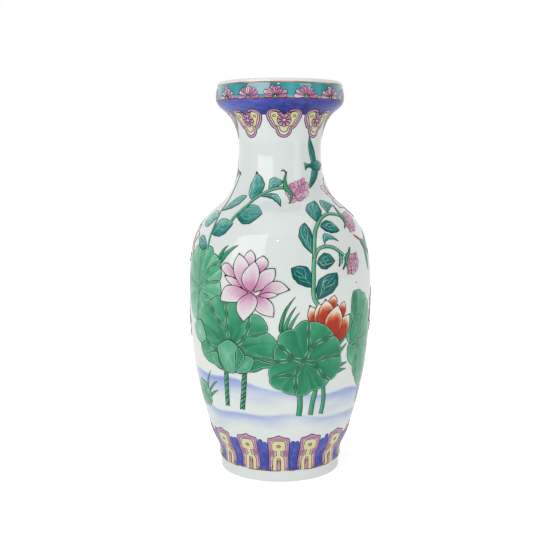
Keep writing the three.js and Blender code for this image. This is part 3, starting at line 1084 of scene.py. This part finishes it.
def water_plants(name, side):
    """Stalks under the leaves and tufts of grass."""
    spot = Spot(0, 100, 0, side)
    at = spot.at
    green, ink = Enamel(name, GREEN), Enamel(name + "_outlines", DARK)
    stalks = (
        (((-38.5, 61), (-37, 75), (-35.5, 95)), 3.8, 6),
        (((-26.5, 60), (-24, 75), (-22, 95)), 3.8, 8),
        (((13, 56), (13.3, 66), (12, 80)), 3.9, 0),
        (((21.5, 56), (22, 66), (24.5, 84)), 3.6, 0),
        (((29.5, 56), (30, 68), (28, 84)), 3.2, 0),
    )
    for places, width, twists in stalks:
        stem(spot, green, ink, [at(*p) for p in places], width, 1.0, twists, 0.45)
    blades = (
        ((0, 122), (4, 141), 2.2, 0.1),
        ((0.5, 121), (9, 147.5), 2.7, 0.2),
        ((2.5, 120), (9.5, 140.5), 2.7, 0.15),
        ((4.5, 119), (11.5, 136), 2.7, 0.14),
        ((-40, 172), (-34, 183.5), 3, 0.15),
        ((-39, 170), (-26.5, 184), 3.4, 0.15),
        ((36, 108), (46, 117.5), 2.8, -0.04),
        ((36, 102), (45, 109.5), 3.4, -0.04),
        ((38, 92), (47, 94.5), 2.8, 0.05),
        ((37, 88), (46.5, 89.5), 2.8, 0.08),
        ((-58, 70), (-50.5, 87), 2.4, 0.15),
        ((-57, 68), (-45, 79.5), 2.4, 0.12),
        ((-56, 65), (-45.5, 72), 2.4, 0.12),
    )
    for base, tip, width, bend in blades:
        grass(spot, green, ink, at(*base), at(*tip), width, bend)
    dot(spot, ink, at(53, 154.4), 0.6)
    make_all(green, ink)


def lotus_pond(side):
    """The scene on one side of the pot. The leaves overlap from back to front."""
    name = side.name

    def spot(angle, z, level, **more):
        return Spot(angle, z, level, side, **more)

    water_plants(name + "_water_plants", side)
    lotus_leaf(name + "_low_leaf", spot(-63, 66, 1), LOW_RIM, LOW_VEINS, light=0.35, eye=0.9)
    lotus_leaf(name + "_tall_leaf", spot(-58, 150, 1), TALL_RIM, TALL_VEINS, light=0.42)
    broad = BROAD_RIM, BROAD_VEINS, BROAD_FLAPS, 0.08, 1.5, BROAD_SHADES
    lotus_leaf(name + "_broad_leaf", spot(-31.5, 113, 3), *broad)
    lotus_leaf(name + "_edge_leaf", spot(57, 110, 1), EDGE_RIM, EDGE_VEINS, EDGE_FLAPS, 0.24)
    lotus(name + "_far_lotus", spot(29, 120, 1), *ORANGE_LOTUS)
    lotus_leaf(name + "_round_leaf", spot(14.5, 99.5, 8), ROUND_RIM, ROUND_VEINS, light=-0.06)
    lotus(name + "_near_lotus", spot(-16, 150, 7), *PINK_LOTUS)
    right_branch(name + "_right_branch", side)
    left_branch(name + "_left_branch", side)
    swallow(name + "_swallow", spot(52, 241.5, 1))
    swallow(name + "_kingfisher", spot(73, 179.5, 1, turn=-30, flip=True, size=0.9), ORANGE)


def between_sides():
    """What stands where the front and the back of the pond meet."""
    swallow("left_swallow", Spot(-92, 236, 1, size=0.9))
    lotus("left_lotus", Spot(-84, 182, 1, size=0.7, turn=15), PINK_PETALS, ORANGE, 0.8)
    lotus("shoulder_lotus", Spot(91, 213, 1, size=0.8), *PINK_LOTUS)
    green, ink = Enamel("side_stalks", GREEN), Enamel("side_stalk_outlines", DARK)
    tall = ((90, 58), (91, 118)), ((-90, 57), (-92, 108))
    short = ((71, 56), (67, 78)), ((109, 56), (113, 78)), ((-96, 57), (-101, 92))
    for foot, top in tall + short:
        spot = Spot(foot[0], 100)
        middle = (foot[0] + top[0]) / 2 + 1, (foot[1] + top[1]) / 2
        stem(spot, green, ink, [spot.at(*p) for p in (foot, middle, top)], 3.2, 0.9, 0, 0.45)
    for middle in (90, -91):
        spot = Spot(middle, 80)
        for sway, height, bend in ((-6, 28, 0.1), (-3, 36, 0.05), (6, 30, -0.1)):
            root, tip = spot.at(middle + sway * 0.3, 60), spot.at(middle + sway, 60 + height)
            grass(spot, green, ink, root, tip, 2.8, bend)
    make_all(green, ink)
    lotus("right_lotus", Spot(91, 126, 4, size=0.7), *PINK_LOTUS)
    lotus("left_low_lotus", Spot(-92, 118, 4, size=0.62), *PINK_LOTUS)
    lotus_leaf("left_side_leaf", Spot(-102, 92, 5), LOW_RIM, LOW_VEINS, light=0.1, eye=0.9)


# ---- rim, collar and foot borders

BORDER = 14  # rim flowers and foot panels round the pot
PENDANTS = 8
GIRDLE_COLUMNS = 480
FLOWER_SHADE = 13  # the teal is darker within this many degrees of a rim flower


def girdle(name, finish, low, high, nodes, tone, lift=0.2, wave=0.0, columns=9):
    """A band of enamel right round the pot."""
    paint = Enamel(name, finish)
    turn = np.linspace(0, 360, GIRDLE_COLUMNS, endpoint=False)[:, None]
    up = np.linspace(0, 1, columns)
    sway = wave * (np.sin(np.radians(turn * 7)) + 0.6 * np.sin(np.radians(turn * 19 + 50)))
    z = low + (high - low) * up + sway
    angle = np.broadcast_to(turn, z.shape)
    rounded = lift * np.minimum(1, 0.3 + 8 * np.minimum(up, 1 - up))
    around = np.radians(angle) * radius_at(z)
    grain = np.stack([around, z, np.zeros(z.shape)], -1)
    paint.sheet(angle, z, np.broadcast_to(rounded, z.shape), tone(angle, z), grain, "rows")
    paint.make(nodes)


def red_line(name, node, tone, change, wave):
    """An iron-red line round the pot. Its tone changes along it, and it waves by some mm."""

    def tone_at(angle, z):
        return tone + change * np.sin(np.radians(angle * 11))

    girdle(name, RED, *heights_of(node), (node,), tone_at, 0.24, wave, 5)


def near_places(angle, places, reach):
    """1 at each of some angles, falling to 0 at a reach from it in degrees."""
    gap = np.min([np.abs((angle - p + 180) % 360 - 180) for p in places], axis=0)
    return np.clip(1 - gap / reach, 0, 1)


def border_places(first, count, jitter):
    step = 360 / count
    return [first + step * k + random.uniform(-jitter, jitter) for k in range(count)]


# The petals of a rim flower's right half and its top petal: direction in degrees, reach and width.
RIM_PETALS = ((5, 9.3, 3.0), (25, 8.8, 3.3), (47, 7.6, 3.4), (70, 7.8, 3.4))
TOP_PETAL = (92, 8.2, 3.4)


def rim_flower(spot, pink, ink, size):
    """Half a chrysanthemum, standing on the line under it."""
    mirror_petals = tuple((180 - turn, reach, width) for turn, reach, width in RIM_PETALS)
    for turn, reach, width in RIM_PETALS + mirror_petals + (TOP_PETAL,):
        way = heading(turn + random.uniform(-4, 4))
        reach *= size * random.uniform(0.86, 1.1)
        shape = blade_shape(way * 1.4 + 0.8j, way * reach + 0.8j, width, 0, 0.7, 0.28, 14)
        pale = random.choice((0.0, 0.1, 0.25, 0.45))

        def tone(t, u):
            return pale + 0.35 * (1 - t) ** 2 + 0.3 * t**3 + 0.2 * u

        outlined(spot, pink, ink, shape, tone, 5, 0.45)
        spot.level += 0.1
    spot.level += 0.6
    heart = 0.6j + 1.4 * np.exp(1j * np.linspace(0, np.pi, 12))
    field(spot, ink, np.r_[heart, np.linspace(-1, 1, 4) + 0.5j], 1.1j, 0.3, 3)
    dot(spot, pink, 1.1j, 0.6, 0.9)


def make_rim():
    _, line_top = heights_of("rim_lower_line")
    band_low, band_top = heights_of("rim_band_enamel")
    flowers = border_places(-3, BORDER, 1.5)

    def teal_tone(angle, z):
        """Thicker and darker round the flowers, and uneven round the pot."""
        shade = 0.35 * near_places(angle, flowers, FLOWER_SHADE)
        return 0.55 - shade + 0.15 * np.sin(np.radians(angle * 5))

    under_lines = band_low - 0.3, band_top + 0.2
    girdle("rim_teal_band", RIM_TEAL, *under_lines, ("rim_band_enamel",), teal_tone)
    red_line("rim_lower_red_line", "rim_lower_line", 0.2, 0.3, 0.06)
    red_line("rim_upper_red_line", "rim_upper_line", 0.75, 0.3, 0.08)
    pink, ink = Enamel("rim_flower_petals", PINK), Enamel("rim_flower_outlines", DARK)
    for angle in flowers:
        rim_flower(Spot(angle, line_top, 4), pink, ink, random.uniform(0.88, 0.98))
    make_all(pink, ink)


# Half of a pendant's outline, from the tip at the bottom round to the cleft at the top, and half
# of its yellow field.
PENDANT = (
    -12.9j, 3.5 - 11.8j, 5.8 - 8.8j, 6.3 - 6.6j, 8.5 - 5.3j, 10.7 - 2.2j, 12.8 + 1.6j, 13.9 + 5.5j,
    12.8 + 9.4j, 9.2 + 11.2j, 5 + 10.4j, 2.2 + 8.2j, 4.8j,
)
PENDANT_FIELD = (
    -8.2j, 2.4 - 7j, 3 - 4.6j, 5.8 - 3.1j, 8.3 + 1.2j, 10.1 + 4.3j, 9.8 + 7.2j, 7.1 + 8j,
    4.6 + 6.5j, 2j,
)


def pendant(spot, pink, yellow, ink):
    """A cloud-shaped collar pendant with two scrolls and a rosette."""
    outline = through(mirrored(PENDANT), closed=True, step=0.9)
    middle = -1.5j
    bands = (0, ink, 0.0), (0.6, pink, 0.32), (1.75, ink, 0.0), (2.35, pink, 1.0)
    for inset, paint, tone in bands:
        field(spot, paint, shrunk(outline, inset), middle, tone, 6)
        spot.level += 0.6
    inside = through(mirrored(PENDANT_FIELD), closed=True, step=0.9)
    for inset, paint, tone in ((-0.65, ink, 0.0), (0, yellow, 0.55)):
        field(spot, paint, shrunk(inside, inset), middle, tone, 6)
        spot.level += 0.6
    for side in (-1, 1):
        eye, scroll_middle = side * 7.6 + 4.4j, side * 3.1 + 6.6j
        ring_line(spot, ink, ellipse(eye, 1.3, 1.3), 0.6, 0)
        scroll = ellipse(scroll_middle, 2.1, 2.1, 20)
        field(spot, pink, scroll, None, 0.3, 3)
        spot.level += 0.5
        ring_line(spot, ink, scroll, 0.55, 0)
        curl = np.linspace(1.4, 0.3, 12) * np.exp(1j * np.linspace(0, 4.5, 12))
        line(spot, ink, scroll_middle + curl, 0.6, tone=0)
        spot.level -= 0.5
    spot.level += 1
    for k in range(9):
        way = heading(90 + 40 * k + 20)
        shape = blade_shape(way * 0.9 + 0.9j, way * 5.3 + 0.9j, 3.1, 0, 0.8, 0.35, 12)
        outlined(spot, pink, ink, shape, (0.05, 0.4, 0), 4, 0.6)
        spot.level += 0.1
    spot.level += 1
    heart = ellipse(0.9j, 1.5, 1.3, 12)
    field(spot, pink, heart, None, 0.7, 3)
    ring_line(spot, ink, heart, 0.4, 0.15)


def make_collar():
    low, high = heights_of("collar_band_enamel")

    def blue_tone_with_painted_light(angle, z):
        """Paler towards the top; paler on the left as painted light, on the side the key light falls
        from.
        """
        return 0.15 + 0.3 * (z - low) / (high - low) + 0.2 * np.sin(np.radians(angle * 2 - 150))

    node = ("collar_band_enamel",)
    girdle("collar_blue_band", BLUE, low, high + 0.2, node, blue_tone_with_painted_light, 0.12, 0.25)
    pink, yellow = Enamel("pendant_bands", PINK), Enamel("pendant_fields", YELLOW)
    ink = Enamel("pendant_outlines", DARK)
    for angle in border_places(4.2, PENDANTS, 0.8):
        pendant(Spot(angle, 274.5, 2), pink, yellow, ink)
    make_all(pink, yellow, ink)


# Half of a foot panel's outline and of its inner outline, from the bottom up, the height and reach
# of the fingers on each side, and one leg and half of the head of its figure.
PANEL = (
    0.3j, 5 + 0.3j, 7.7 + 0.4j, 7.8 + 14j, 8.5 + 25j, 8.6 + 28.5j, 7.9 + 30.2j, 5.6 + 30.7j,
    2.6 + 31.6j, 32.8j,
)
PANEL_INSIDE = (0.6j, 4.5 + 0.6j, 6.2 + 0.6j, 6.3 + 14j, 6.6 + 25j, 6.2 + 28.2j, 4 + 28.9j, 29.1j)
FINGERS = ((13.6, 3.0), (15.6, 3.6), (17.4, 3.0))
LEG = ((0.2, 12.2), (2, 11.6), (2.9, 9), (3, 4), (3, 0.4))
HEAD = (18.4j, 2 + 18.4j, 4.2 + 18.8j, 4.8 + 20.4j, 4.8 + 25j, 4.2 + 27j, 2.4 + 27.6j, 27.7j)


def figure(spot, paint, spread, tone):
    """A panel's yellow figure: a head, a waist and two legs. The spread widens it all round."""
    head = through(mirrored(HEAD), closed=True, step=0.9)
    field(spot, paint, shrunk(head, -spread), 23j, tone, 5)
    wide = 2.8 + 2 * spread
    blade(spot, paint, ribbon(bezier(19j, 11.5j, count=12), np.full(12, wide)), tone, 3)
    for side in (-1, 1):
        leg = through([side * x + 1j * y for x, y in LEG])
        blade(spot, paint, ribbon(leg, np.full(len(leg), wide - 0.2)), tone, 3)


def lappet(spot, pink, yellow, ink):
    """A panel of the foot border: a pink frame with a shallow point, round a yellow figure."""
    outside = through(mirrored(PANEL), closed=True, step=1.0)
    inside = through(mirrored(PANEL_INSIDE), closed=True, step=1.0)
    layers = (
        (outside, 0, ink, 0.1),
        (outside, 0.6, pink, 0.27),
        (inside, 0, ink, 0.3),
        (inside, 0.4, pink, 0.6),
    )
    for outline, inset, paint, tone in layers:
        field(spot, paint, shrunk(outline, inset), 14j, tone, 6)
        spot.level += 0.6
    for side in (-1, 1):
        for height, reach in FINGERS:
            start = side * 6.6 + 1j * height
            finger = blade_shape(start, start - side * reach, 2.1, 0, 0.4, 0.4, 10)
            outlined(spot, pink, ink, finger, 0.2, 4, 0.36, 0.4)
    spot.level += 1
    figure(spot, ink, 0.5, 0.35)
    spot.level += 1
    figure(spot, yellow, 0.0, 0.6)
    spot.level += 1
    oval = ellipse(23j, 1.7, 1.5)
    field(spot, pink, oval, None, 0.2, 3)
    ring_line(spot, ink, oval, 0.5)
    tongue = blade_shape(0.4j, 9j, 2.6, 0, 0.1, 0.35, 12)
    outlined(spot, pink, ink, tongue, 0.3, 4, 0.4, 0.25)


def make_foot_border():
    _, line_top = heights_of("foot_line")
    red_line("foot_red_line", "foot_line", 0.6, 0.2, 0.08)
    pink, yellow = Enamel("lappet_frames", PINK), Enamel("lappet_figures", YELLOW)
    ink, blue = Enamel("lappet_outlines", DARK), Enamel("foot_blue_columns", BLUE)
    for angle in border_places(-0.9, BORDER, 0.4):
        lappet(Spot(angle, line_top, 1), pink, yellow, ink)
        column = Spot(angle + 180 / BORDER, line_top)
        left, right = random.uniform(27, 30.5), random.uniform(26, 31)
        strokes = (-1.4, left, 7.9), (1.6, right, 7.0)
        for x, top, width in strokes:
            shape = blade_shape(x + 0.3j, x * 1.2 + 1j * top, width, 0, 0.02, 0.26)
            blade(column, blue, shape, (0.3, 0.2, 0.1))
            column.level += 0.3
    blue.make(("foot_band_enamel",))
    make_all(pink, yellow, ink)


# ---- camera, light and floor

LENS, SENSOR = 58.95, 36
CAMERA_PLACE = (0, -0.726, 0.246)
CAMERA_DIP = 7.49  # degrees that the camera looks down
WHITE = (1, 1, 1, 1)
ROOM_LIGHT = 0.62  # the white room's light on rough surfaces
ROOM_GLOSS = 0.2  # its light in reflections, where most of a studio is dark,
BACKDROP_GLOSS = 0.88  # except for the white backdrop behind the vase
BACKDROP = (0.1, 0.8)  # how far back a direction points where the backdrop starts, and is full
FLOOR_CORNERS = (-4, -2), (4, 6)  # in metres
FLOOR_GLOW = (0.45, 0.7)  # the floor's own light at the vase, and from the reach outwards
GLOW_REACH = 0.16
FLOOR_BOUNCE = 0.16  # the floor's own light as the vase receives it


def make_camera():
    camera = bpy.data.cameras.new("camera")
    camera.lens = LENS
    camera.sensor_width = SENSOR
    seat = bpy.data.objects.new("camera", camera)
    seat.location = CAMERA_PLACE
    seat.rotation_euler = (math.radians(90 - CAMERA_DIP), 0, 0)
    bpy.context.scene.collection.objects.link(seat)
    bpy.context.scene.camera = seat


def soft_box(name, azimuth, elevation, reach, size, power, swing=1.0, upright=False):
    """An area light seen from the middle of the vase. Azimuth 0 is the viewer's side. A swing of 1
    turns it to the vase, and 0 leaves it parallel to the picture."""
    light = bpy.data.lights.new(name, "AREA")
    light.shape = "RECTANGLE"
    light.size, light.size_y = size
    light.energy = power
    lamp = bpy.data.objects.new(name, light)
    turn, rise = math.radians(azimuth), math.radians(elevation)
    flat = reach * math.cos(rise)
    middle = TOP / 2 * MM
    lamp.location = (flat * math.sin(turn), -flat * math.cos(turn), middle + reach * math.sin(rise))
    lamp.rotation_euler = (math.pi / 2 - (0 if upright else rise), 0, turn * swing)
    bpy.context.scene.collection.objects.link(lamp)


def make_room():
    """A white room: the camera sees pure white, and its light is softer than that."""
    world = bpy.data.worlds.new("white_room")
    bpy.context.scene.world = world
    world.use_nodes = True
    tree = world.node_tree
    rays = tree.nodes.new("ShaderNodeLightPath").outputs
    direction = add_node(tree, "TexCoord", "Generated")
    behind = add_node(tree, "SeparateXYZ", "Y", {"Vector": direction})
    gloss = remap(tree, behind, ROOM_GLOSS, BACKDROP_GLOSS, *BACKDROP)
    strength = remap(tree, rays["Is Glossy Ray"], ROOM_LIGHT, gloss, 0, 1)
    strength = remap(tree, rays["Is Camera Ray"], strength, 1.0, 0, 1)
    feed(tree, tree.nodes["Background"], {"Color": WHITE, "Strength": strength})
    bpy.context.scene.view_settings.view_transform = "Standard"


def make_floor():
    """A pale floor. The vase is lit by less of its glow than the camera sees."""
    mesh = bpy.data.meshes.new("floor")
    (left, near), (right, far) = FLOOR_CORNERS
    corners = (left, near, 0), (right, near, 0), (right, far, 0), (left, far, 0)
    mesh.from_pydata(corners, [], [(0, 1, 2, 3)])
    floor = bpy.data.objects.new("floor", mesh)
    bpy.context.scene.collection.objects.link(floor)
    material, tree, shader = node_material("pale_floor")
    place = add_node(tree, "TexCoord", "Object")
    away = vector_math(tree, "LENGTH", "Value", {0: place})
    glow = remap(tree, away, *FLOOR_GLOW, FOOT_RADIUS * MM, GLOW_REACH)
    seen = add_node(tree, "LightPath", "Is Camera Ray")
    looks = {
        "Base Color": ramp(tree, noise(tree, place, 3.0), [(0.3, "f4f4f2"), (0.7, "fafaf8")]),
        "Roughness": 0.9,
        "Specular IOR Level": 0.0,
        "Emission Color": WHITE,
        "Emission Strength": remap(tree, seen, FLOOR_BOUNCE, glow, 0, 1),
    }
    feed(tree, shader, looks)
    mesh.materials.append(material)
    floor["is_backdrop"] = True


make_camera()
make_room()
make_floor()
# Each light's azimuth, elevation, distance, size and power.
soft_box("key_box", -45.5, 29, 1.35, (1.06, 0.93), 5.6, 0.35, upright=True)
soft_box("right_box", 48, 17, 1.3, (0.42, 0.9), 1.1)
soft_box("top_box", 10, 75, 1.3, (1.4, 1.4), 3.0)
soft_box("small_lamp", -3, 37.5, 1.2, (0.04, 0.04), 0.07)
make_pot()
make_rim()
make_collar()
make_foot_border()
lotus_pond(FRONT)
lotus_pond(Side("back", 180, mirrored=True))
between_sides()

boxes = {"cad": CAD_BOX, "visual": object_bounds()}
boxes = {key: [[float(v) for v in corner] for corner in box] for key, box in boxes.items()}
